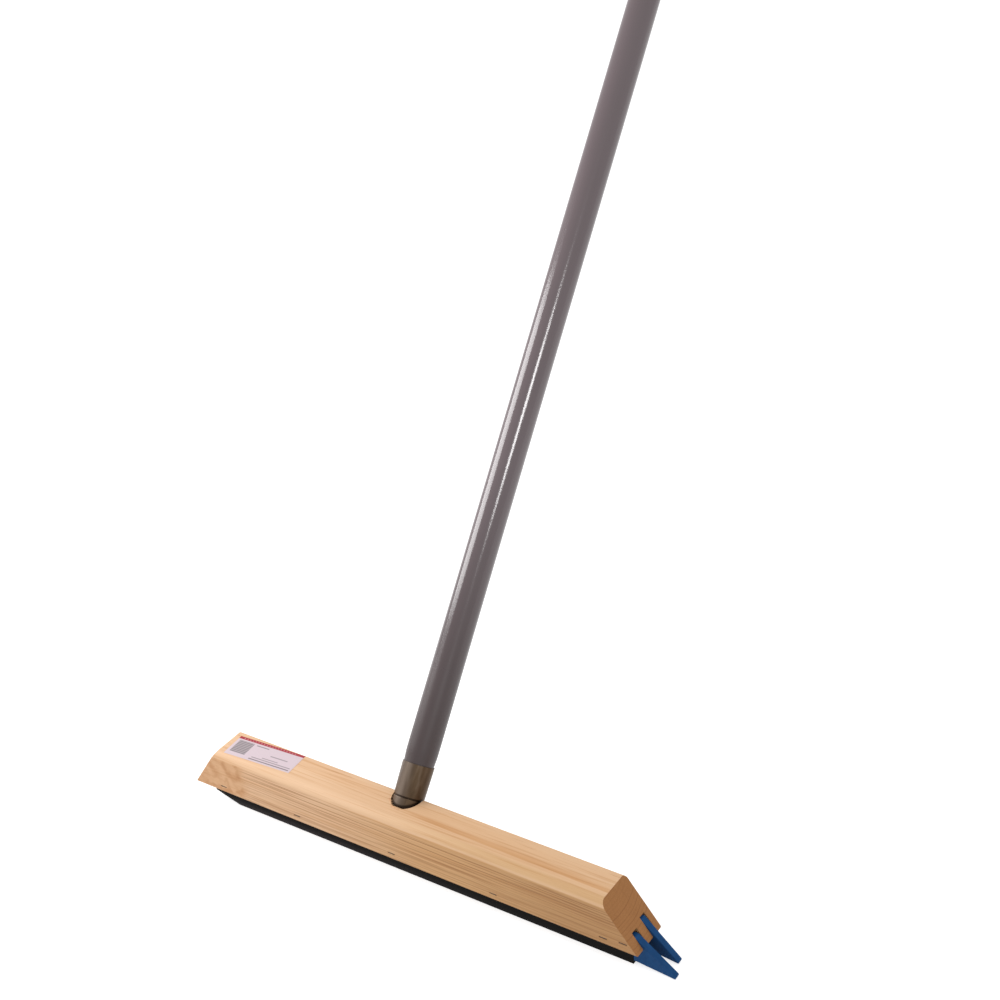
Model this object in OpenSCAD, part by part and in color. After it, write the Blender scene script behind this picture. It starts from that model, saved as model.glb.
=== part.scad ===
// Wooden floor squeegee: a pine block with two rubber lips and a screw-in handle that leans back.
// X runs along the block, Y points to the side that the handle leans to, Z is up.
// The origin is on the handle's centre line, where a hand holds the squeegee up.

/* [Block] */
// Length of the block along its underside
block_length = 450; // [320:5:800]
// How far each end slants in between the underside and the top
end_run = 30; // [0:1:45]
// Depth of the block from its front face to its back face
block_depth = 37; // [35:0.5:60]
// Height of the block
block_height = 41; // [38:0.5:60]
// Radius of the long front edge on top
front_edge_radius = 7; // [1:0.5:9]
// Radius of the long back edge on top
back_edge_radius = 4; // [1:0.5:8]
// Radius of the two long edges underneath
bottom_edge_radius = 1.2; // [0.4:0.1:3]

/* [Kerfs] */
// Width of the two saw cuts that hold the lips
kerf_width = 6.9; // [5:0.1:7.5]
// Depth of the front saw cut, measured up from the underside
front_kerf_depth = 12.5; // [12:0.5:16]
// Depth of the rear saw cut, measured up from the underside
rear_kerf_depth = 15; // [12:0.5:16]
// Wood left in front of the front saw cut
front_wall = 9; // [6:0.5:10]
// Wood left between the two saw cuts
kerf_web = 8.2; // [5:0.2:9]

/* [Rubber lips] */
// Height of the lips that shows below the block
lip_drop = 19; // [12:0.5:30]
// Room between a lip and each side of its saw cut
lip_side_clearance = 0.1; // [0.05:0.05:0.4]
// Room above a lip in its saw cut
lip_top_gap = 1; // [0.3:0.1:3]
// Distance from the block's lower left end to the lower corner of the lips
lip_end_inset = 39; // [30:1:60]
// Length of the slanting cut at the lips' lower left ends
lip_cut_run = 26; // [0:1:28]
// Height of the slanting cut at the lips' lower left ends
lip_cut_rise = 7.5; // [1:0.5:10]

/* [Corner blades] */
// Thickness of the corner blades at the right end
blade_thickness = 5.8; // [3:0.1:6.5]
// Height of a corner blade's tip that shows below the block
blade_drop = 18; // [10:0.5:30]
// How much higher than the tip the heel of a corner blade is
blade_heel_rise = 3; // [0:0.5:6]
// Room above the front corner blade in its saw cut
front_blade_gap = 3.6; // [0.3:0.1:4]
// Room above the rear corner blade in its saw cut
rear_blade_gap = 1.6; // [0.3:0.1:4]
// How far the tip of the front corner blade reaches past the block's lower end
front_blade_reach = 26.5; // [10:0.5:40]
// How far the tip of the rear corner blade reaches past the block's lower end
rear_blade_reach = 21; // [10:0.5:40]
// Height of the blunt edge at the tip
blade_tip_height = 1.5; // [1:0.5:6]
// How far a corner blade starts inside the block's lower end, below the wood
blade_foot = 9; // [4:0.5:20]
// How far the tab of a corner blade runs inside the block's lower end, in the saw cut
blade_tab = 36; // [28:1:70]
// Room between a lip and its corner blade
blade_lip_gap = 0.4; // [0.2:0.1:2]

/* [Staples] */
// Width of a staple across its crown
staple_crown = 7; // [5:0.5:12]
// Thickness of the staple wire
staple_wire = 1.2; // [0.8:0.1:1.6]
// How far the staple legs reach into the wood between the saw cuts
staple_bite = 2.1; // [1:0.1:2.4]
// Height of the staples above the block's underside
staple_height = 6; // [4:0.5:8]
// Staples along each lip
lip_staples = 4; // [2:1:8]
// Distance from the block's lower left end to the first staple
first_staple_inset = 33.8; // [30:0.2:50]
// How much shorter than the others the gap after the first staple is
first_gap_cut = 16.8; // [0:0.2:40]
// Distance between the two staples in the tab of a corner blade
tab_staple_pitch = 17.4; // [10:0.2:18]
// Height of the last staple above the block's underside
last_staple_height = 8; // [6:0.5:8]
// Distance from the block's slanted right end to the middle of the last staple
last_staple_inset = 6.3; // [5:0.1:9]
// Room round a staple in the wood and the rubber
staple_clearance = 0.05; // [0.02:0.01:0.1]

/* [Paper label] */
// Length of the label
label_length = 70; // [20:1:90]
// Width of the label
label_width = 25; // [10:1:28]
// Thickness of the label
label_thickness = 0.25; // [0.1:0.05:0.5]
// Distance from the block's upper left end to the label
label_inset = 6; // [2:1:60]
// How far behind the middle of the block the label's middle is
label_shift = 1.6; // [-2:0.1:2]
// How far the label is turned out of line with the block, in degrees
label_turn = 3.5; // [-4:0.5:4]

/* [Handle socket] */
// Offset of the socket from the middle of the block
socket_offset = -8; // [-40:0.5:40]
// Distance from the block's back face to the socket's centre line, on the top
socket_inset = 2.5; // [1:0.5:6]
// Lean of the handle away from upright, in degrees
handle_tilt = 39.4; // [30:0.2:42]
// Diameter of the threaded part of the socket
thread_diameter = 20; // [16:0.5:21]
// Depth of the wide mouth of the socket, along its centre line
mouth_depth = 11; // [9:0.5:12]
// Depth of the threaded part of the socket, along its centre line
thread_depth = 11.5; // [8:0.5:12]
// Running room round the threaded end
thread_clearance = 0.05; // [0.02:0.01:0.1]
// Room round the nose of the threaded tip in the mouth of the socket
mouth_clearance = 1.4; // [0.4:0.1:2]

/* [Ferrule] */
// Length of the ferrule
ferrule_length = 27.5; // [20:0.5:45]
// How much smaller than the tube the ferrule's upper rim is, in diameter
ferrule_rim_step = -0.3; // [-0.4:0.1:1.5]
// How much the ferrule narrows from its upper rim to its lower end, in diameter
ferrule_taper = 1.2; // [0:0.1:3]
// Wall of the ferrule
ferrule_wall = 0.8; // [0.5:0.1:1.2]
// Width of the groove between the ferrule and the nose of the tip
groove_width = 1.6; // [0.6:0.1:2.5]
// Distance from the top of the block to the groove, along the socket's centre line
groove_depth = 0.6; // [0:0.1:3]
// How deep the groove is cut into the tip below its spigot
groove_cut = 2; // [0.2:0.1:4]
// How much larger than the ferrule's lower end the nose of the tip is, in diameter
nose_step = -0.8; // [-1:0.1:1]
// Length of the spigot that the tip has inside the ferrule
spigot_length = 9; // [5:0.5:14]
// Room between parts that are pressed together
press_clearance = 0.05; // [0.02:0.01:0.1]

/* [Handle] */
// Diameter of the handle tube
tube_diameter = 27; // [25.8:0.1:30]
// Wall of the handle tube
tube_wall = 1; // [0.6:0.1:2]
// Length of the handle from the ferrule's rim to the end of the tube
handle_length = 1290; // [600:10:1600]
// Length over which the tube narrows above the ferrule
neck_length = 10; // [5:1:60]
// Distance from the block to the middle of the hand's grip, along the handle
grip_distance = 1150; // [400:10:1250]

/* [Hanger cap] */
// Length of the cap's plug inside the tube
plug_length = 32; // [20:1:80]
// Straight rim of the cap on the end of the tube
cap_rim = 3; // [1:0.5:10]
// Diameter of the hanging hole
hang_hole_diameter = 9; // [5:0.5:14]
// Plastic round the hanging hole
hang_rim = 5; // [3:0.5:8]
// Thickness of the hanging eye
hang_eye_thickness = 8; // [4:0.5:14]

/* [Hidden] */
$fn = 96;
tiny = 0.01;
blank_margin = 1;

// Levels above the floor and sides of the block
underside = lip_drop;
block_top = underside + block_height;
front_face = -block_depth / 2;
back_face = block_depth / 2;
half_length = block_length / 2;
end_slope = end_run / block_height;

// Saw cuts, by the Y of their front side
front_kerf = front_face + front_wall;
rear_kerf = front_kerf + kerf_width + kerf_web;
rear_wall = back_face - rear_kerf - kerf_width;

// Lips, in the X Z plane
lip_thickness = kerf_width - 2 * lip_side_clearance;
lip_left = -half_length + lip_end_inset;
lip_far_left = lip_left - lip_cut_run;
lip_right = half_length - blade_foot - blade_lip_gap;
lip_tab_cut = half_length - blade_tab - blade_lip_gap;

// Corner blades, in the X Z plane
blade_bottom = underside - blade_drop;

// Staples
front_leg = front_wall + kerf_width + staple_bite;
rear_leg = rear_wall + kerf_width + staple_bite;
staple_first = -half_length + first_staple_inset;
tab_staple_last = half_length - last_staple_height * end_slope - last_staple_inset;
tab_staple_first = tab_staple_last - tab_staple_pitch;
staple_pitch = (tab_staple_first - staple_first + first_gap_cut) / lip_staples;
staple_places = concat([[staple_first, staple_height]],
                       [for (i = [lip_staples - 1 : -1 : 0]) [tab_staple_first - i * staple_pitch, staple_height]],
                       [[tab_staple_last, last_staple_height]]);

// Socket and handle, measured along the socket's centre line from the top of the block
socket_y = back_face - socket_inset;
ferrule_top_diameter = tube_diameter - ferrule_rim_step;
ferrule_bottom_diameter = ferrule_top_diameter - ferrule_taper;
nose_diameter = ferrule_bottom_diameter + nose_step;
groove_bottom = -groove_depth - groove_width;
ferrule_bottom = -groove_depth;
ferrule_top = ferrule_bottom + ferrule_length;
socket_bottom = -mouth_depth - thread_depth;
tip_end_gap = 0.5;
tip_end = socket_bottom + tip_end_gap;
tip_chamfer = 1.5;
nose_chamfer = 0.6;
nose_end = -mouth_depth + tip_end_gap;
mouth_radius = nose_diameter / 2 + mouth_clearance;
spigot_radius = ferrule_bottom_diameter / 2 - ferrule_wall - press_clearance;
spigot_top = ferrule_bottom + spigot_length;
tube_start = spigot_top + tip_end_gap;
tube_top = ferrule_top + handle_length;
cap_radius = tube_diameter / 2;
plug_radius = cap_radius - tube_wall - press_clearance;
eye_radius = hang_hole_diameter / 2 + hang_rim;
eye_height = cap_rim + cap_radius + eye_radius * 0.6;

// Outer radius of the ferrule at a height along the centre line
function ferrule_radius(s) = ferrule_bottom_diameter / 2
    + (ferrule_top_diameter - ferrule_bottom_diameter) / 2 * (s - ferrule_bottom) / ferrule_length;
// Radius of the tube's narrowed end at a height inside the ferrule
function neck_radius(s) = ferrule_radius(s) - ferrule_wall - press_clearance;

// Moves what is drawn over the floor so that the hand's grip is at the origin
module from_grip() {
    translate([-socket_offset, -socket_y - grip_distance * sin(handle_tilt),
               -block_top - grip_distance * cos(handle_tilt)])
        children();
}

// Puts what is drawn round the Z axis onto the handle's centre line
module on_handle(s = 0) {
    translate([socket_offset, socket_y, block_top])
        rotate([-handle_tilt, 0, 0])
            translate([0, 0, s])
                children();
}

// Turns an outline in the X Z plane into a slab from one Y to another
module upright_slab(from_y, thickness) {
    translate([0, from_y + thickness, 0])
        rotate([90, 0, 0])
            linear_extrude(thickness)
                children();
}

// Cross-section of the block in Y and Z, with rounded long edges
module block_section() {
    difference() {
        union() {
            translate([front_face, underside + bottom_edge_radius])
                square([block_depth / 2, block_height - bottom_edge_radius - front_edge_radius]);
            translate([0, underside + bottom_edge_radius])
                square([block_depth / 2, block_height - bottom_edge_radius - back_edge_radius]);
            translate([front_face + front_edge_radius, underside + block_height / 2])
                square([block_depth - front_edge_radius - back_edge_radius, block_height / 2]);
            translate([front_face + bottom_edge_radius, underside])
                square([block_depth - 2 * bottom_edge_radius, block_height / 2]);
            translate([front_face + front_edge_radius, block_top - front_edge_radius])
                circle(front_edge_radius);
            translate([back_face - back_edge_radius, block_top - back_edge_radius])
                circle(back_edge_radius);
            for (side = [-1, 1])
                translate([side * (back_face - bottom_edge_radius), underside + bottom_edge_radius])
                    circle(bottom_edge_radius);
        }
        translate([front_kerf, underside - tiny])
            square([kerf_width, front_kerf_depth + tiny]);
        translate([rear_kerf, underside - tiny])
            square([kerf_width, rear_kerf_depth + tiny]);
    }
}

// Side outline of the block, with both ends slanted in towards the top
module block_outline() {
    polygon([[-half_length, underside], [half_length, underside],
             [half_length - end_run, block_top], [-half_length + end_run, block_top]]);
}

// One staple with its crown flush with the face at y = 0 and its legs along +Y
module staple(leg, grow) {
    wire = staple_wire + 2 * grow;
    translate([-staple_crown / 2 - grow, -grow, -wire / 2])
        cube([staple_crown + 2 * grow, wire, wire]);
    for (side = [-1, 1])
        translate([side * (staple_crown - staple_wire) / 2 - wire / 2, -grow, -wire / 2])
            cube([wire, leg + 2 * grow, wire]);
}

module front_staple_row(grow = 0) {
    for (place = staple_places)
        translate([place[0], front_face, underside + place[1]])
            staple(front_leg, grow);
}

module rear_staple_row(grow = 0) {
    for (place = staple_places)
        translate([place[0], back_face, underside + place[1]])
            mirror([0, 1, 0])
                staple(rear_leg, grow);
}

// Wide mouth and threaded hole of the handle socket
module socket_cut() {
    on_handle(-mouth_depth)
        cylinder(h = mouth_depth + 3 * block_depth, r = mouth_radius);
    on_handle(socket_bottom)
        cylinder(h = thread_depth + tiny, d = thread_diameter + 2 * thread_clearance);
}

module wood_block() {
    color([0.87, 0.70, 0.50])
    difference() {
        intersection() {
            translate([-half_length, 0, 0])
                rotate([90, 0, 90])
                    linear_extrude(block_length)
                        block_section();
            upright_slab(front_face - blank_margin, block_depth + 2 * blank_margin)
                block_outline();
        }
        socket_cut();
        front_staple_row(staple_clearance);
        rear_staple_row(staple_clearance);
    }
}

// Outline of a lip: cut away at its lower left end, square on the right, notched for the corner blade's tab
module lip_outline(kerf_depth) {
    lip_top = underside + kerf_depth - lip_top_gap;
    polygon([[lip_left, 0], [lip_right, 0], [lip_right, underside - blade_lip_gap],
             [lip_tab_cut, underside - blade_lip_gap], [lip_tab_cut, lip_top],
             [lip_far_left, lip_top], [lip_far_left, lip_cut_rise]]);
}

module lip(kerf, kerf_depth) {
    upright_slab(kerf + lip_side_clearance, lip_thickness)
        lip_outline(kerf_depth);
}

module front_lip() {
    color([0.12, 0.11, 0.12])
    difference() {
        lip(front_kerf, front_kerf_depth);
        front_staple_row(staple_clearance);
    }
}

module rear_lip() {
    color([0.12, 0.11, 0.12])
    difference() {
        lip(rear_kerf, rear_kerf_depth);
        rear_staple_row(staple_clearance);
    }
}

// Outline of a corner blade: a tab in the saw cut and a fin below, with one straight cut from the tab to the tip
module blade_outline(kerf_depth, top_gap, reach) {
    blade_top = underside + kerf_depth - top_gap;
    blade_top_end = half_length - (kerf_depth - top_gap) * end_slope;
    blade_tip = half_length + reach;
    polygon([[half_length - blade_tab, underside], [half_length - blade_foot, underside],
             [half_length - blade_foot, blade_bottom + blade_heel_rise], [blade_tip, blade_bottom],
             [blade_tip, blade_bottom + blade_tip_height],
             [blade_top_end, blade_top], [half_length - blade_tab, blade_top]]);
}

module front_corner_blade() {
    color([0.15, 0.30, 0.50])
    difference() {
        upright_slab(front_kerf, blade_thickness)
            blade_outline(front_kerf_depth, front_blade_gap, front_blade_reach);
        front_staple_row(staple_clearance);
    }
}

module rear_corner_blade() {
    color([0.15, 0.30, 0.50])
    difference() {
        upright_slab(rear_kerf, blade_thickness)
            blade_outline(rear_kerf_depth, rear_blade_gap, rear_blade_reach);
        rear_staple_row(staple_clearance);
    }
}

module front_staples() {
    color([0.45, 0.40, 0.36])
        front_staple_row();
}

module rear_staples() {
    color([0.45, 0.40, 0.36])
        rear_staple_row();
}

module paper_label() {
    color([0.93, 0.90, 0.93])
        translate([-half_length + end_run + label_inset + label_length / 2, label_shift, block_top])
            rotate([0, 0, label_turn])
                translate([-label_length / 2, -label_width / 2, 0])
                    cube([label_length, label_width, label_thickness]);
}

// Threaded end, nose in the mouth of the socket, and spigot inside the ferrule
module threaded_tip() {
    color([0.45, 0.40, 0.36])
    on_handle()
        rotate_extrude()
            polygon([[0, tip_end], [thread_diameter / 2 - tip_chamfer, tip_end],
                     [thread_diameter / 2, tip_end + tip_chamfer], [thread_diameter / 2, nose_end],
                     [nose_diameter / 2 - nose_chamfer, nose_end],
                     [nose_diameter / 2, nose_end + nose_chamfer],
                     [nose_diameter / 2, groove_bottom - nose_chamfer],
                     [nose_diameter / 2 - nose_chamfer, groove_bottom],
                     [spigot_radius - groove_cut, groove_bottom],
                     [spigot_radius - groove_cut, ferrule_bottom], [spigot_radius, ferrule_bottom],
                     [spigot_radius, spigot_top], [0, spigot_top]]);
}

// Tapered metal sleeve that joins the tube to the tip
module ferrule_sleeve() {
    color([0.42, 0.37, 0.32])
    on_handle()
        rotate_extrude()
            polygon([[spigot_radius + press_clearance, ferrule_bottom],
                     [ferrule_radius(ferrule_bottom), ferrule_bottom],
                     [ferrule_radius(ferrule_top), ferrule_top],
                     [ferrule_radius(ferrule_top) - ferrule_wall, ferrule_top],
                     [ferrule_radius(spigot_top) - ferrule_wall, spigot_top],
                     [spigot_radius + press_clearance, spigot_top]]);
}

// Coated tube with its lower end narrowed to fit the ferrule
module handle_tube() {
    color([0.46, 0.42, 0.43])
    on_handle()
        rotate_extrude()
            polygon([[neck_radius(tube_start) - tube_wall, tube_start], [neck_radius(tube_start), tube_start],
                     [neck_radius(ferrule_top), ferrule_top],
                     [tube_diameter / 2, ferrule_top + neck_length],
                     [tube_diameter / 2, tube_top], [tube_diameter / 2 - tube_wall, tube_top],
                     [tube_diameter / 2 - tube_wall, ferrule_top + neck_length],
                     [neck_radius(ferrule_top) - tube_wall, ferrule_top]]);
}

// Plastic plug on the end of the tube, with a domed rim and a hanging eye
module hanger_cap() {
    color([0.16, 0.16, 0.17])
    difference() {
        on_handle(tube_top) {
            translate([0, 0, -plug_length])
                cylinder(h = plug_length + tiny, r = plug_radius);
            cylinder(h = cap_rim, r = cap_radius);
            translate([0, 0, cap_rim])
                difference() {
                    sphere(cap_radius);
                    translate([0, 0, -2 * cap_radius])
                        cube(4 * cap_radius, center = true);
                }
            rotate([90, 0, 90])
                translate([0, 0, -hang_eye_thickness / 2])
                    linear_extrude(hang_eye_thickness) {
                        translate([0, eye_height])
                            circle(eye_radius);
                        translate([-eye_radius, cap_rim / 2])
                            square([2 * eye_radius, eye_height - cap_rim / 2]);
                    }
        }
        on_handle(tube_top + eye_height)
            rotate([0, 90, 0])
                cylinder(h = 3 * cap_radius, d = hang_hole_diameter, center = true);
    }
}

from_grip() wood_block();
from_grip() front_lip();
from_grip() rear_lip();
from_grip() front_corner_blade();
from_grip() rear_corner_blade();
from_grip() front_staples();
from_grip() rear_staples();
from_grip() paper_label();
from_grip() threaded_tip();
from_grip() ferrule_sleeve();
from_grip() handle_tube();
from_grip() hanger_cap();
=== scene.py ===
import bmesh
import bpy
import math
from mathutils import Matrix, Vector


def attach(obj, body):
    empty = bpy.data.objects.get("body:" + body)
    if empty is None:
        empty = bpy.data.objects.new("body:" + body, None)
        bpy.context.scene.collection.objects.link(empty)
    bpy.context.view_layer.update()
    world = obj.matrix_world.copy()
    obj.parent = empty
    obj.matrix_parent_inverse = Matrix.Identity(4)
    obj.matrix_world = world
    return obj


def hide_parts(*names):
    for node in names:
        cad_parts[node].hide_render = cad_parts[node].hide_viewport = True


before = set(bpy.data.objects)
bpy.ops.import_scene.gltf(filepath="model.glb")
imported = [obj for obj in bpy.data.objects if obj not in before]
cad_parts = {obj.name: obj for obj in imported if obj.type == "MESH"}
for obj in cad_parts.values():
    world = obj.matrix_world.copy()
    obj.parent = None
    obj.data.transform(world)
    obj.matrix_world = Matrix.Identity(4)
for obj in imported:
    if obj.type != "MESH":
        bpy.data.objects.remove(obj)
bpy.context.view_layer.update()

# Where the hand's grip, the frame's origin, lies over the floor under the block's middle
GRIP = Vector((-0.008, 0.745940, 0.948644))
LEAN = math.radians(39.4)
UP_HANDLE = Vector((0.0, math.sin(LEAN), math.cos(LEAN)))
GRIP_DISTANCE = 1.150
SOCKET = -GRIP_DISTANCE * UP_HANDLE
FLOOR = -GRIP.z

# Way from the handle's centre line to the side of the ferrule that faces the left lamp, which is painted
# lighter as a painted highlight
LAMP_SIDE = Vector((-0.8626, -0.391, 0.321))

# Sizes of the block and the label in millimetres, over the floor under the block's middle
BLOCK_FACE = 18.5
BLOCK_TOP = 60.0
FRONT_ROUNDING = 7.0
BACK_ROUNDING = 4.0
LABEL_LENGTH = 70.0
LABEL_WIDTH = 25.0
LABEL_X = -154.0
LABEL_Y = 1.6
LABEL_TURN = math.radians(3.5)
LABEL_LIFT = 0.16


def over_floor(x, y, z):
    """A place given in millimetres over the floor under the block's middle."""
    return Vector((x, y, z)) / 1000.0 - GRIP


def round_handle(along, radius, angle):
    """A place given in millimetres along the handle from the socket and out from its centre line."""
    side = Vector((1.0, 0.0, 0.0))
    out = math.cos(angle) * side + math.sin(angle) * UP_HANDLE.cross(side)
    return SOCKET + (along * UP_HANDLE + radius * out) / 1000.0


# Node helpers

def put(tree, kind, inputs=None, **settings):
    """Adds a node, with its settings and with values or links on its inputs."""
    made = tree.nodes.new(kind)
    for name, value in settings.items():
        setattr(made, name, value)
    for socket, value in (inputs or {}).items():
        if isinstance(value, bpy.types.NodeSocket):
            tree.links.new(value, made.inputs[socket])
        else:
            made.inputs[socket].default_value = value
    return made


def sum_up(tree, operation, first, second=0.0, third=0.0):
    made = put(tree, "ShaderNodeMath", {0: first, 1: second, 2: third}, operation=operation)
    return made.outputs[0]


def product(tree, *factors):
    total = factors[0]
    for factor in factors[1:]:
        total = sum_up(tree, "MULTIPLY", total, factor)
    return total


def opposite(tree, share):
    return sum_up(tree, "SUBTRACT", 1.0, share)


def step_between(tree, value, low, high):
    """Rises smoothly from 0 to 1 while the value goes from low to high."""
    made = put(tree, "ShaderNodeMapRange", {"Value": value, "From Min": low, "From Max": high},
               interpolation_type="SMOOTHSTEP")
    return made.outputs["Result"]


def stretched(tree, point, scale, shift=(0.0, 0.0, 0.0)):
    made = put(tree, "ShaderNodeMapping", {"Vector": point, "Location": shift, "Scale": scale})
    return made.outputs["Vector"]


def clouds(tree, point, scale, detail=2.0, roughness=0.5, distortion=0.0):
    """Soft noise from 0 to 1. The scale is a number, or three for noise that is longer one way."""
    if not isinstance(scale, float):
        point = stretched(tree, point, scale)
        scale = 1.0
    made = put(tree, "ShaderNodeTexNoise", {"Vector": point, "Scale": scale, "Detail": detail,
                                            "Roughness": roughness, "Distortion": distortion})
    return made.outputs["Fac"]


def ramp(tree, value, *stops):
    made = put(tree, "ShaderNodeValToRGB", {"Fac": value})
    marks = made.color_ramp.elements
    while len(marks) < len(stops):
        marks.new(0.5)
    for mark, (place, colour) in zip(marks, stops):
        mark.position = place
        mark.color = (*colour, 1.0)
    return made.outputs["Color"]


def blended(tree, share, below, above, blend="MIX"):
    made = put(tree, "ShaderNodeMix", data_type="RGBA", blend_type=blend)
    for socket, value in ((0, share), (6, below), (7, above)):
        if isinstance(value, bpy.types.NodeSocket):
            tree.links.new(value, made.inputs[socket])
        elif socket == 0:
            made.inputs[socket].default_value = value
        else:
            made.inputs[socket].default_value = (*value, 1.0)
    return made.outputs[2]


def tinted(tree, share, colour, tint):
    """The colour multiplied by the tint where the share is 1."""
    return blended(tree, share, colour, tint, "MULTIPLY")


def bumped(tree, height, strength, distance):
    made = put(tree, "ShaderNodeBump", {"Height": height, "Strength": strength, "Distance": distance})
    return made.outputs["Normal"]


def new_finish(name, **fixed):
    """A material with its node tree, its shader and the object's own coordinates."""
    material = bpy.data.materials.new(name)
    material.use_nodes = True
    tree = material.node_tree
    shader = tree.nodes["Principled BSDF"]
    for socket, value in fixed.items():
        shader.inputs[socket.replace("_", " ")].default_value = value
    point = put(tree, "ShaderNodeTexCoord").outputs["Object"]
    return material, tree, shader, point


def wire_up(tree, shader, **sockets):
    for socket, value in sockets.items():
        tree.links.new(value, shader.inputs[socket.replace("_", " ")])


def over_block(tree, point):
    """X, Y and Z, by name, in metres over the floor under the block's middle."""
    parts = put(tree, "ShaderNodeSeparateXYZ", {"Vector": stretched(tree, point, (1.0, 1.0, 1.0), GRIP)})
    return parts.outputs


def along_handle(tree, point):
    """Distance in metres from the socket, along the handle."""
    made = put(tree, "ShaderNodeVectorMath", {0: point, 1: UP_HANDLE}, operation="DOT_PRODUCT")
    return sum_up(tree, "ADD", made.outputs["Value"], GRIP_DISTANCE)


# Finishes

def growth_layers(tree, point, height, spacing):
    """Counts the growth layers upwards. They lie almost level in the block and are unevenly thick."""
    wave = clouds(tree, point, (3.0, 22.0, 22.0), detail=1.0)
    uneven = clouds(tree, point, (0.8, 6.0, 95.0), detail=1.0)
    ripple = clouds(tree, point, (24.0, 60.0, 60.0), detail=1.0)
    level = sum_up(tree, "MULTIPLY_ADD", wave, 0.004, sum_up(tree, "MULTIPLY_ADD", ripple, 0.0012, height))
    return sum_up(tree, "MULTIPLY_ADD", uneven, 2.2, sum_up(tree, "DIVIDE", level, spacing))


def late_wood(tree, layers):
    """Thin dark line at the end of each year's growth, stronger in some years than in others."""
    year = sum_up(tree, "FRACT", layers)
    line = sum_up(tree, "SUBTRACT", step_between(tree, year, 0.6, 0.82), step_between(tree, year, 0.88, 0.98))
    number = sum_up(tree, "FLOOR", layers)
    which = put(tree, "ShaderNodeTexWhiteNoise", {"W": number}, noise_dimensions="1D").outputs["Value"]
    return product(tree, line, sum_up(tree, "MULTIPLY_ADD", step_between(tree, which, 0.2, 0.9), 0.75, 0.25))


def make_pine():
    material, tree, shader, point = new_finish("pine_long_grain", Roughness=0.6, IOR=1.45)
    place = over_block(tree, point)
    x, y, z = place["X"], place["Y"], place["Z"]
    sides = opposite(tree, step_between(tree, z, 0.0543, 0.0560))
    rightwards = step_between(tree, x, -0.19, 0.16)
    ragged_x = sum_up(tree, "MULTIPLY_ADD", clouds(tree, point, 60.0), 0.03, x)
    left_end = opposite(tree, step_between(tree, ragged_x, -0.158, -0.140))

    wood = blended(tree, rightwards, (0.875, 0.58, 0.362), (0.815, 0.53, 0.312))
    band = step_between(tree, clouds(tree, point, (3.5, 80.0, 40.0)), 0.35, 0.75)
    wood = tinted(tree, product(tree, band, 0.6), wood, (0.91, 0.82, 0.71))
    streaks = step_between(tree, clouds(tree, point, (9.0, 420.0, 420.0), detail=3.0), 0.5, 0.72)
    wood = tinted(tree, product(tree, streaks, 0.9), wood, (0.86, 0.76, 0.64))

    # Warmer stripe along the top, from the socket to the right end
    past_edge = sum_up(tree, "MULTIPLY_ADD", x, 0.0115, sum_up(tree, "ADD", y, 0.0043))
    past_edge = sum_up(tree, "MULTIPLY_ADD", clouds(tree, point, (16.0, 0.0, 0.0)), 0.0012, past_edge)
    stripe = product(tree, step_between(tree, past_edge, 0.0, 0.0014),
                     opposite(tree, step_between(tree, past_edge, 0.002, 0.010)),
                     step_between(tree, x, -0.02, 0.04), opposite(tree, sides))
    wood = tinted(tree, stripe, wood, (0.87, 0.75, 0.60))

    # Yellower front edge of the top and short dark dashes near its back edge
    front_edge = product(tree, opposite(tree, step_between(tree, y, -0.0135, -0.008)),
                         step_between(tree, z, 0.0555, 0.0585), step_between(tree, x, -0.06, 0.12))
    wood = tinted(tree, front_edge, wood, (0.87, 0.83, 0.70))
    flecks = product(tree, step_between(tree, clouds(tree, point, (22.0, 950.0, 950.0)), 0.64, 0.72),
                     step_between(tree, y, 0.0, 0.009), opposite(tree, sides))
    wood = tinted(tree, product(tree, flecks, 0.7), wood, (0.72, 0.58, 0.45))

    # Dark lines of the growth layers along the front and the back
    lines = late_wood(tree, growth_layers(tree, point, z, 0.0029))
    patchy = step_between(tree, clouds(tree, point, (9.0, 70.0, 240.0)), 0.24, 0.52)
    dashes = step_between(tree, clouds(tree, point, (10.0, 150.0, 640.0)), 0.52, 0.68)
    lines = sum_up(tree, "MAXIMUM", product(tree, lines, patchy), product(tree, dashes, 0.75))
    upper = sum_up(tree, "MULTIPLY_ADD", step_between(tree, z, 0.034, 0.047), 0.25, 0.75)
    fading = sum_up(tree, "MULTIPLY_ADD", step_between(tree, x, 0.06, 0.17), -0.15, 1.0)
    lines = product(tree, lines, upper, fading, sides, opposite(tree, left_end))
    wood = tinted(tree, lines, wood, (0.55, 0.39, 0.25))
    wood = tinted(tree, product(tree, sides, step_between(tree, x, -0.10, 0.05)), wood, (0.88, 0.80, 0.63))
    wood = tinted(tree, product(tree, sides, step_between(tree, x, 0.03, 0.21)), wood, (0.80, 0.755, 0.70))

    # Blotchy wood at the left end
    blotch = clouds(tree, point, (95.0, 60.0, 105.0), detail=5.0, distortion=0.3)
    blotch = step_between(tree, blotch, 0.38, 0.68)
    wood = tinted(tree, product(tree, blotch, left_end, sides), wood, (0.80, 0.67, 0.55))
    wood = tinted(tree, product(tree, left_end, sides), wood, (0.92, 0.85, 0.76))

    fibres = clouds(tree, point, (18.0, 1200.0, 1200.0), detail=3.0)
    wood = tinted(tree, product(tree, step_between(tree, fibres, 0.48, 0.76), 0.35), wood, (0.78, 0.68, 0.56))
    height = sum_up(tree, "MULTIPLY_ADD", lines, -0.8, fibres)
    wire_up(tree, shader, Base_Color=wood, Normal=bumped(tree, height, 0.3, 0.0004))
    return material


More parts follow.
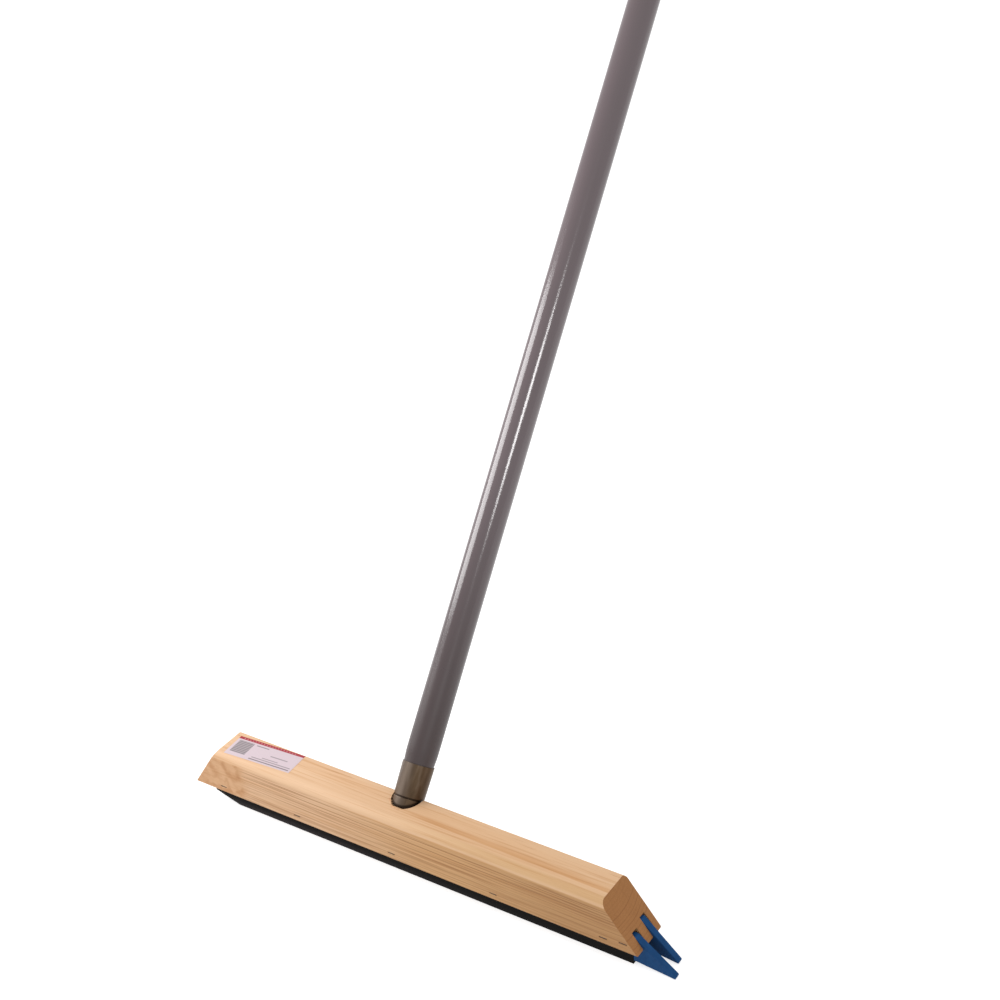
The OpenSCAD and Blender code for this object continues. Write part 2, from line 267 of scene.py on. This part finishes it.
def make_end_grain():
    material, tree, shader, point = new_finish("pine_end_grain", Roughness=0.7, IOR=1.45)
    place = over_block(tree, point)
    off_middle = sum_up(tree, "POWER", sum_up(tree, "ADD", place["Y"], 0.006), 2.0)
    arched = sum_up(tree, "MULTIPLY_ADD", off_middle, -7.0, place["Z"])
    lines = late_wood(tree, growth_layers(tree, point, arched, 0.0026))
    pores = clouds(tree, point, (300.0, 1500.0, 1500.0), detail=3.0)
    saw_marks = step_between(tree, clouds(tree, point, (60.0, 700.0, 60.0), detail=2.0), 0.45, 0.7)
    tone = clouds(tree, point, 55.0, detail=3.0)
    wood = blended(tree, tone, (0.41, 0.173, 0.048), (0.49, 0.215, 0.068))
    wood = tinted(tree, product(tree, lines, 0.6), wood, (0.68, 0.58, 0.50))
    wood = tinted(tree, product(tree, saw_marks, 0.15), wood, (0.80, 0.74, 0.68))
    wood = tinted(tree, product(tree, step_between(tree, pores, 0.45, 0.75), 0.5), wood, (0.74, 0.66, 0.58))
    wire_up(tree, shader, Base_Color=wood, Normal=bumped(tree, pores, 0.35, 0.0004))
    return material


def make_coated_tube():
    material, tree, shader, point = new_finish("coated_tube", IOR=1.70)
    peel = clouds(tree, point, 900.0, detail=2.0)
    blotch = clouds(tree, point, (60.0, 12.0, 12.0), detail=3.0)
    colour = blended(tree, blotch, (0.126, 0.088, 0.097), (0.148, 0.104, 0.115))
    along = along_handle(tree, point)
    # Painted shade: the coat is painted darker towards the ferrule over the lowest 0.3 m, and its gloss is
    # lowered there
    lower_end_shade = opposite(tree, step_between(tree, along, 0.0, 0.30))
    colour = tinted(tree, lower_end_shade, colour, (0.29, 0.22, 0.20))
    gloss = sum_up(tree, "MULTIPLY_ADD", lower_end_shade, -0.13, 0.5)
    rough = sum_up(tree, "MULTIPLY_ADD", blotch, 0.08, 0.11)
    rough = sum_up(tree, "MULTIPLY_ADD", step_between(tree, along, 0.16, 0.05), 0.25, rough)
    wire_up(tree, shader, Base_Color=colour, Roughness=rough, Specular_IOR_Level=gloss,
            Normal=bumped(tree, peel, 0.08, 0.0005))
    return material


def make_ferrule_metal():
    material, tree, shader, point = new_finish("ferrule_metal", Metallic=0.9)
    upright = put(tree, "ShaderNodeMapping", {"Vector": point, "Rotation": (LEAN, 0.0, 0.0)})
    smear = clouds(tree, upright.outputs["Vector"], (150.0, 150.0, 28.0), detail=4.0, distortion=0.3)
    colour = ramp(tree, smear, (0.3, (0.058, 0.035, 0.019)), (0.5, (0.094, 0.060, 0.035)),
                  (0.7, (0.150, 0.108, 0.075)))
    # Painted light: the ferrule is painted lighter on its side towards the left lamp and painted darker, as
    # painted shade, on the far side
    towards = put(tree, "ShaderNodeVectorMath", {0: point, 1: LAMP_SIDE}, operation="DOT_PRODUCT")
    towards = towards.outputs["Value"]
    lit_side = step_between(tree, sum_up(tree, "MULTIPLY_ADD", smear, 0.005, towards), 0.001, 0.0126)
    colour = blended(tree, product(tree, lit_side, 0.5), colour, (0.21, 0.17, 0.145))
    along = along_handle(tree, point)
    # Painted shade in the groove between the ferrule's end and the nose
    groove_shade = product(tree, step_between(tree, along, -0.0024, -0.0020),
                     step_between(tree, along, -0.0004, -0.0008))
    colour = tinted(tree, groove_shade, colour, (0.30, 0.27, 0.25))
    shaded = step_between(tree, towards, -0.003, -0.010)
    colour = tinted(tree, shaded, colour, (0.84, 0.80, 0.76))
    # Painted shade on the nose just above the socket's rim, where it goes into the block
    height = over_block(tree, point)["Z"]
    socket_shade = product(tree, step_between(tree, along, -0.0018, -0.0024),
                        step_between(tree, height, 0.0622, 0.0607))
    colour = tinted(tree, socket_shade, colour, (0.20, 0.17, 0.15))
    rough = sum_up(tree, "MULTIPLY_ADD", smear, 0.25, 0.30)
    scuffs = clouds(tree, point, (1500.0, 200.0, 200.0), detail=2.0)
    wire_up(tree, shader, Base_Color=colour, Roughness=rough, Normal=bumped(tree, scuffs, 0.15, 0.0003))
    return material


def make_rubber(name, dark, light, roughness, gloss, lower_edge_light=0.0):
    material, tree, shader, point = new_finish(name, IOR=1.48, Specular_IOR_Level=gloss)
    patches = clouds(tree, point, 160.0, detail=4.0)
    skin = clouds(tree, point, 2200.0, detail=2.0)
    colour = blended(tree, step_between(tree, patches, 0.3, 0.7), dark, light)
    place = over_block(tree, point)
    # Painted light: the lip is painted paler along its lower 8 mm, most towards the left end, while its upper
    # part stays dark as painted shade under the block
    lower_edge_light_share = product(tree, step_between(tree, place["Z"], 0.008, 0.0),
                    step_between(tree, place["X"], 0.26, -0.22), lower_edge_light)
    colour = blended(tree, lower_edge_light_share, colour, (0.075, 0.066, 0.068))
    rough = sum_up(tree, "MULTIPLY_ADD", patches, 0.16, roughness)
    wire_up(tree, shader, Base_Color=colour, Roughness=rough, Normal=bumped(tree, skin, 0.15, 0.0002))
    return material


def make_staple_wire():
    material, tree, shader, point = new_finish("staple_wire", Metallic=0.6)
    rust = clouds(tree, point, 900.0, detail=4.0)
    colour = ramp(tree, rust, (0.35, (0.045, 0.028, 0.02)), (0.65, (0.11, 0.09, 0.078)))
    wire_up(tree, shader, Base_Color=colour, Roughness=sum_up(tree, "MULTIPLY_ADD", rust, 0.4, 0.3))
    return material


def make_label_paper():
    material, tree, shader, point = new_finish("label_paper", Roughness=0.5)
    place = put(tree, "ShaderNodeUVMap", uv_map="label").outputs["UV"]
    parts = put(tree, "ShaderNodeSeparateXYZ", {"Vector": place})
    along, across = parts.outputs["X"], parts.outputs["Y"]

    def field(left, right, front, back, soft=0.006):
        """1 inside a rectangle of the label, with soft edges."""
        edges = []
        for value, low, high in ((along, left, right), (across, front, back)):
            edges.append(step_between(tree, value, low - soft, low + soft))
            edges.append(opposite(tree, step_between(tree, value, high - soft, high + soft)))
        return product(tree, *edges)

    fibre = clouds(tree, point, 1800.0, detail=3.0)
    paper = blended(tree, fibre, (0.68, 0.555, 0.60), (0.77, 0.635, 0.685))
    stripes = sum_up(tree, "FRACT", sum_up(tree, "MULTIPLY", across, 13.0))
    hatch = sum_up(tree, "MULTIPLY_ADD", step_between(tree, stripes, 0.35, 0.65), 0.5, 0.45)
    paper = blended(tree, product(tree, field(0.04, 0.27, 0.17, 0.82), hatch), paper, (0.20, 0.175, 0.18))
    for left, right, front, back, ink in ((0.36, 0.97, 0.07, 0.115, 0.9), (0.38, 0.97, 0.175, 0.215, 0.65),
                                          (0.52, 0.76, 0.27, 0.305, 0.65), (0.60, 0.86, 0.46, 0.505, 0.6),
                                          (0.31, 0.50, 0.755, 0.795, 0.75)):
        paper = blended(tree, product(tree, field(left, right, front, back), ink), paper, (0.16, 0.13, 0.14))
    bars = step_between(tree, sum_up(tree, "FRACT", sum_up(tree, "MULTIPLY", along, 23.0)), 0.5, 0.8)
    bars = product(tree, bars, field(0.05, 0.9, 0.91, 0.97), 0.45)
    red = blended(tree, bars, (0.40, 0.016, 0.032), (0.70, 0.42, 0.45))
    paper = blended(tree, field(-0.02, 1.02, 0.88, 1.02, 0.012), paper, red)
    wire_up(tree, shader, Base_Color=paper, Normal=bumped(tree, fibre, 0.1, 0.0002))
    return material


def make_cap_plastic():
    material, tree, shader, point = new_finish("cap_plastic", IOR=1.47)
    grain = clouds(tree, point, 1300.0, detail=2.0)
    colour = blended(tree, grain, (0.022, 0.022, 0.024), (0.034, 0.034, 0.036))
    wire_up(tree, shader, Base_Color=colour, Roughness=sum_up(tree, "MULTIPLY_ADD", grain, 0.15, 0.36),
            Normal=bumped(tree, grain, 0.2, 0.0003))
    return material


PINE = make_pine()
END_GRAIN = make_end_grain()
COATED_TUBE = make_coated_tube()
FERRULE_METAL = make_ferrule_metal()
# The black lip gets painted light along its lower edge
BLACK_RUBBER = make_rubber("black_rubber", (0.003, 0.0026, 0.0024), (0.007, 0.0063, 0.0056), 0.6, 0.08,
                           lower_edge_light=0.6)
BLUE_RUBBER = make_rubber("blue_rubber", (0.012, 0.068, 0.200), (0.0155, 0.084, 0.238), 0.45, 0.09)
STAPLE_WIRE = make_staple_wire()
LABEL_PAPER = make_label_paper()
CAP_PLASTIC = make_cap_plastic()


# Pieces that follow the CAD solids

def flatten_modifiers(piece):
    """Turns a piece with modifiers into a plain mesh."""
    plain = bpy.data.meshes.new_from_object(piece.evaluated_get(bpy.context.evaluated_depsgraph_get()))
    piece.modifiers.clear()
    piece.data = plain
    piece.data.name = piece.name


def settle(piece):
    """A plain mesh that is smooth up to its sharp edges, where large flat faces are shaded flat."""
    flatten_modifiers(piece)
    piece.data.shade_smooth()
    piece.data.set_sharp_from_angle(angle=math.radians(38.0))
    weighted = piece.modifiers.new("flat_faces", "WEIGHTED_NORMAL")
    weighted.keep_sharp = True
    flatten_modifiers(piece)


def add_piece(name, mesh):
    piece = bpy.data.objects.new(name, mesh)
    bpy.context.collection.objects.link(piece)
    return piece


def softened(node, name, material, body, width=0.0, segments=2):
    """A copy of a CAD node with its sharp edges broken, which stands for the node."""
    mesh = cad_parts[node].data.copy()
    work = bmesh.new()
    work.from_mesh(mesh)
    bmesh.ops.remove_doubles(work, verts=work.verts, dist=1e-6)
    bmesh.ops.dissolve_limit(work, angle_limit=math.radians(0.5), verts=work.verts, edges=work.edges)
    work.to_mesh(mesh)
    work.free()
    mesh.materials.clear()
    mesh.materials.append(material)
    piece = add_piece(name, mesh)
    if width:
        bevel = piece.modifiers.new("broken_edges", "BEVEL")
        bevel.width = width
        bevel.segments = segments
        bevel.limit_method = "ANGLE"
        bevel.angle_limit = math.radians(35.0)
    settle(piece)
    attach(piece, body)
    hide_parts(node)
    return piece


block = softened("wood_block", "pine_block", PINE, "block")
block.data.materials.append(END_GRAIN)
for face in block.data.polygons:
    if abs(face.normal.x) > 0.5:
        face.material_index = 1

for side in ("front", "rear"):
    lip = softened(side + "_lip", side + "_rubber_lip", BLACK_RUBBER, "block", 0.0004)
    blade = softened(side + "_corner_blade", side + "_blue_blade", BLUE_RUBBER, "block", 0.0007, 3)

ferrule = softened("ferrule_sleeve", "tapered_ferrule", FERRULE_METAL, "handle", 0.00025)
cap = softened("hanger_cap", "hanging_cap", CAP_PLASTIC, "handle", 0.0004)


# Pieces from Geometry Nodes

def new_tree(name, *sizes):
    """A tree with a geometry input, named inputs for its sizes, and a geometry output."""
    tree = bpy.data.node_groups.new(name, "GeometryNodeTree")
    tree.interface.new_socket("Geometry", in_out="OUTPUT", socket_type="NodeSocketGeometry")
    for label, kind in (("Geometry", "Geometry"), *sizes):
        tree.interface.new_socket(label, in_out="INPUT", socket_type="NodeSocket" + kind)
    return tree, put(tree, "NodeGroupInput").outputs


def finish_tree(tree, shape, finish):
    real = put(tree, "GeometryNodeRealizeInstances", {"Geometry": shape})
    dressed = put(tree, "GeometryNodeSetMaterial", {"Geometry": real.outputs[0], "Material": finish})
    put(tree, "NodeGroupOutput", {"Geometry": dressed.outputs[0]})


def make_rod_tree():
    """Lays a round rod along every path, with its corners bent to a radius."""
    tree, given = new_tree("rod_along_path", ("Rod Radius", "Float"), ("Corner Radius", "Float"),
                           ("Sides", "Int"), ("Finish", "Material"))
    path = put(tree, "GeometryNodeMeshToCurve", {"Mesh": given["Geometry"]})
    bent = put(tree, "GeometryNodeFilletCurve", {"Curve": path.outputs[0], "Count": 4, "Limit Radius": True,
                                                 "Radius": given["Corner Radius"]}, mode="POLY")
    ring = put(tree, "GeometryNodeCurvePrimitiveCircle", {"Resolution": given["Sides"],
                                                          "Radius": given["Rod Radius"]})
    rod = put(tree, "GeometryNodeCurveToMesh", {"Curve": bent.outputs[0], "Profile Curve": ring.outputs[0],
                                                "Fill Caps": True})
    finish_tree(tree, rod.outputs[0], given["Finish"])
    return tree


def make_fibre_tree():
    """Sows torn wood fibres along a path, leaning and lying every way."""
    tree, given = new_tree("torn_fibres", ("Count", "Int"), ("Length", "Float"), ("Thickness", "Float"),
                           ("Seed", "Int"), ("Finish", "Material"))
    path = put(tree, "GeometryNodeMeshToCurve", {"Mesh": given["Geometry"]})
    places = put(tree, "GeometryNodeCurveToPoints", {"Curve": path.outputs[0], "Count": given["Count"]},
                 mode="COUNT")
    fibre = put(tree, "GeometryNodeMeshCone", {"Vertices": 5, "Radius Top": 0.0, "Depth": given["Length"],
                                               "Radius Bottom": given["Thickness"]}, fill_type="NGON")
    turn = put(tree, "FunctionNodeRandomValue", {0: (1.2, -0.2, -3.1), 1: (1.8, 0.2, 3.1),
                                                 "Seed": given["Seed"]}, data_type="FLOAT_VECTOR")
    size = put(tree, "FunctionNodeRandomValue", {2: 0.35, 3: 1.0, "Seed": given["Seed"]}, data_type="FLOAT")
    sown = put(tree, "GeometryNodeInstanceOnPoints", {"Points": places.outputs["Points"],
                                                      "Instance": fibre.outputs["Mesh"],
                                                      "Rotation": turn.outputs[0], "Scale": size.outputs[1]})
    finish_tree(tree, sown.outputs[0], given["Finish"])
    return tree


def grown(name, tree, paths, body, **sizes):
    """Makes a plain mesh from a tree and paths, each a list of places."""
    mesh = bpy.data.meshes.new(name)
    places = []
    edges = []
    for path in paths:
        first = len(places)
        places.extend(path)
        edges.extend((first + step, first + step + 1) for step in range(len(path) - 1))
    mesh.from_pydata(places, edges, [])
    piece = add_piece(name, mesh)
    modifier = piece.modifiers.new(tree.name, "NODES")
    modifier.node_group = tree
    for socket in tree.interface.items_tree:
        if socket.in_out == "INPUT" and socket.name in sizes:
            modifier[socket.identifier] = sizes[socket.name]
    settle(piece)
    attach(piece, body)
    return piece


ROD_TREE = make_rod_tree()

# Staples in millimetres: wire, crown, legs into the block, and places along it and above the floor
WIRE = 1.2
CROWN = 7.0
FRONT_LEG = 18.0
REAR_LEG = 15.0
STAPLE_PLACES = ((-191.2, 25.0), (-107.14, 25.0), (-6.28, 25.0), (94.59, 25.0), (195.45, 25.0),
                 (212.85, 27.0))

for node, face, leg in (("front_staples", -BLOCK_FACE, FRONT_LEG), ("rear_staples", BLOCK_FACE, -REAR_LEG)):
    crown_y = face + math.copysign(WIRE / 2, leg)
    paths = []
    for x, z in STAPLE_PLACES:
        left = x - (CROWN - WIRE) / 2
        right = x + (CROWN - WIRE) / 2
        paths.append([over_floor(left, face + leg, z), over_floor(left, crown_y, z),
                      over_floor(right, crown_y, z), over_floor(right, face + leg, z)])
    staples = grown(node + "_wire", ROD_TREE, paths, "block", **{
        "Rod Radius": WIRE / 2000.0, "Corner Radius": 0.0009, "Sides": 10, "Finish": STAPLE_WIRE})
    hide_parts(node)

# Ridge of the thread, in millimetres along the handle from the socket
PITCH = 5.0
RIDGE_RADIUS = 8.95
RIDGE_START = -21.0
RIDGE_TURNS = 2
STEPS_A_TURN = 48
helix = []
for step in range(RIDGE_TURNS * STEPS_A_TURN + 1):
    turn = step / STEPS_A_TURN
    helix.append(round_handle(RIDGE_START + PITCH * turn, RIDGE_RADIUS, 2.0 * math.pi * turn))
thread = grown("thread_ridge", ROD_TREE, [helix], "handle", **{
    "Rod Radius": 0.00098, "Corner Radius": 0.0, "Sides": 8, "Finish": FERRULE_METAL})

# Front of the socket's rim on the block's top, part of an ellipse in millimetres
RIM_X = -8.0
RIM_Y = 16.0
RIM_HEIGHT = 59.95
RIM_ACROSS = 14.15
RIM_DEEP = 18.3
RIM_STEPS = 24
RIM_START = 205.0
RIM_SWEEP = 80.0
rim = []
for step in range(RIM_STEPS + 1):
    angle = math.radians(RIM_START + RIM_SWEEP * step / RIM_STEPS)
    rim.append(over_floor(RIM_X + RIM_ACROSS * math.cos(angle), RIM_Y + RIM_DEEP * math.sin(angle),
                          RIM_HEIGHT))
fibres = grown("torn_rim_fibres", make_fibre_tree(), [rim], "block", **{
    "Count": 70, "Length": 0.0026, "Thickness": 0.00026, "Seed": 7, "Finish": PINE})


# Pieces built from outlines

def turned(name, profile, material, body, hollow=False, steps=96):
    """A solid of revolution about the handle from pairs of distance along it and radius."""
    work = bmesh.new()
    rings = []
    for along, radius in profile:
        rings.append([work.verts.new(round_handle(along, radius, 2.0 * math.pi * step / steps))
                      for step in range(steps)])
    if hollow:
        rings.append(rings[0])
    else:
        work.faces.new(rings[0])
        work.faces.new(rings[-1])
    for lower, upper in zip(rings, rings[1:]):
        for step in range(steps):
            after = (step + 1) % steps
            work.faces.new((lower[step], lower[after], upper[after], upper[step]))
    bmesh.ops.recalc_face_normals(work, faces=work.faces)
    mesh = bpy.data.meshes.new(name)
    work.to_mesh(mesh)
    work.free()
    mesh.materials.append(material)
    piece = add_piece(name, mesh)
    settle(piece)
    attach(piece, body)
    return piece


# Threaded end, nose, groove and spigot
TIP_PROFILE = ((-22.0, 7.2), (-20.8, 8.7), (-10.5, 8.7), (-10.5, 12.0), (-9.9, 12.6), (-2.8, 12.65),
               (-2.35, 12.5), (-2.2, 12.1), (-2.2, 11.85), (-0.6, 11.85), (-0.6, 12.2), (8.4, 12.2))
tip = turned("screw_tip", TIP_PROFILE, FERRULE_METAL, "tip")
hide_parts("threaded_tip")

# Narrowed end inside the ferrule, outside of the tube, and back along its inside
TUBE_PROFILE = ((8.9, 11.41), (8.9, 12.41), (26.9, 12.8), (34.0, 13.33), (37.5, 13.48), (41.0, 13.5),
                (1316.7, 13.5), (1316.9, 13.4), (1316.9, 12.5), (36.9, 12.5), (26.9, 11.8))
tube = turned("coated_handle_tube", TUBE_PROFILE, COATED_TUBE, "handle", hollow=True)
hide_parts("handle_tube")


def make_label():
    """Paper label, a little askew on the block's top and bent down with its rounded edges."""
    columns = 34
    rows = 18
    front_bend = BLOCK_FACE - FRONT_ROUNDING
    back_bend = BLOCK_FACE - BACK_ROUNDING
    work = bmesh.new()
    marks = work.loops.layers.uv.new("label")
    places = {}
    for column in range(columns + 1):
        for row in range(rows + 1):
            along = LABEL_LENGTH * (column / columns - 0.5)
            across = LABEL_WIDTH * (row / rows - 0.5)
            x = LABEL_X + along * math.cos(LABEL_TURN) - across * math.sin(LABEL_TURN)
            y = LABEL_Y + along * math.sin(LABEL_TURN) + across * math.cos(LABEL_TURN)
            drop = 0.0
            if y < -front_bend:
                drop = FRONT_ROUNDING - math.sqrt(FRONT_ROUNDING ** 2 - (y + front_bend) ** 2)
            if y > back_bend:
                drop = BACK_ROUNDING - math.sqrt(BACK_ROUNDING ** 2 - (y - back_bend) ** 2)
            corner = work.verts.new(over_floor(x, y, BLOCK_TOP + LABEL_LIFT - drop))
            places[column, row] = (corner, (column / columns, row / rows))
    for column in range(columns):
        for row in range(rows):
            around = [places[column + a, row + b] for a, b in ((0, 0), (1, 0), (1, 1), (0, 1))]
            face = work.faces.new([corner for corner, mark in around])
            for loop, (corner, mark) in zip(face.loops, around):
                loop[marks].uv = mark
    mesh = bpy.data.meshes.new("bent_label")
    work.to_mesh(mesh)
    work.free()
    mesh.materials.append(LABEL_PAPER)
    label = add_piece("bent_label", mesh)
    sheet = label.modifiers.new("paper_thickness", "SOLIDIFY")
    sheet.thickness = 0.00012
    sheet.offset = -1.0
    settle(label)
    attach(label, "block")
    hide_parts("paper_label")


make_label()


# Stage, light and camera

FLOOR_HALF = 9.0
FLOOR_PAINT = 0.72
FLOOR_GLOW = 0.70
WORLD_LIGHT = 0.705
MIDDLE_OF_VIEW = SOCKET + 0.33 * UP_HANDLE


def seen_rays(tree):
    """1 for rays from the camera, reflections and clear materials, which see the white studio."""
    rays = put(tree, "ShaderNodeLightPath").outputs
    return sum_up(tree, "MAXIMUM", rays["Is Camera Ray"],
                  sum_up(tree, "MAXIMUM", rays["Is Glossy Ray"], rays["Is Transmission Ray"]))


def make_floor():
    work = bmesh.new()
    bmesh.ops.create_grid(work, x_segments=1, y_segments=1, size=FLOOR_HALF)
    mesh = bpy.data.meshes.new("studio_floor")
    work.to_mesh(mesh)
    work.free()
    mesh.transform(Matrix.Translation((0.0, 0.0, FLOOR)))
    material = bpy.data.materials.new("studio_floor")
    material.use_nodes = True
    tree = material.node_tree
    tree.nodes.clear()
    strength = sum_up(tree, "MULTIPLY", seen_rays(tree), FLOOR_GLOW)
    glow = put(tree, "ShaderNodeEmission", {"Strength": strength})
    paint = put(tree, "ShaderNodeBsdfDiffuse", {"Color": (FLOOR_PAINT, FLOOR_PAINT, FLOOR_PAINT, 1.0)})
    both = put(tree, "ShaderNodeAddShader", {0: paint.outputs[0], 1: glow.outputs[0]})
    put(tree, "ShaderNodeOutputMaterial", {"Surface": both.outputs[0]})
    mesh.materials.append(material)
    add_piece("studio_floor", mesh)


def light_world():
    """Even white light. What the camera and reflections see of it is full white."""
    world = bpy.data.worlds.new("studio")
    world.use_nodes = True
    tree = world.node_tree
    strength = sum_up(tree, "MULTIPLY_ADD", seen_rays(tree), 1.0 - WORLD_LIGHT, WORLD_LIGHT)
    tree.links.new(strength, tree.nodes["Background"].inputs["Strength"])
    tree.nodes["Background"].inputs["Color"].default_value = (1.0, 1.0, 1.0, 1.0)
    bpy.context.scene.world = world


def softbox(name, shape, place, aim, width, height, power, only_gloss=False):
    """A soft lamp that faces the aim, with its height along the handle."""
    lamp = bpy.data.lights.new(name, "AREA")
    lamp.shape = shape
    lamp.size = width
    lamp.size_y = height
    lamp.energy = power
    away = (place - aim).normalized()
    up = (UP_HANDLE - UP_HANDLE.dot(away) * away).normalized()
    box = bpy.data.objects.new(name, lamp)
    box.matrix_world = Matrix.Translation(place) @ Matrix((up.cross(away), up, away)).transposed().to_4x4()
    box.visible_diffuse = not only_gloss
    bpy.context.collection.objects.link(box)


def make_camera():
    """The camera that was fitted to the block's corners and the handle's edges in the photograph."""
    lens = bpy.data.cameras.new("photo_camera")
    lens.sensor_width = 36.0
    lens.lens = 60.647
    lens.clip_end = 50.0
    camera = bpy.data.objects.new("photo_camera", lens)
    right = Vector((0.82744977, 0.55425711, -0.09014393))
    up = Vector((-0.20762657, 0.45113137, 0.86796987))
    back = Vector((0.52174523, -0.6994852, 0.48836705))
    turn = Matrix((right, up, back)).transposed().to_4x4()
    camera.matrix_world = Matrix.Translation(over_floor(727.12, -803.63, 942.09)) @ turn
    bpy.context.collection.objects.link(camera)
    bpy.context.scene.camera = camera


make_floor()
light_world()
softbox("left_softbox", "RECTANGLE", Vector((-1.032, -0.954, -0.168)), MIDDLE_OF_VIEW,
        width=0.93, height=0.53, power=9.4)
softbox("right_softbox", "ELLIPSE", Vector((0.734, -1.168, 0.092)), MIDDLE_OF_VIEW,
        width=0.30, height=0.34, power=3.6, only_gloss=True)
make_camera()
bpy.context.scene.view_settings.view_transform = "Standard"
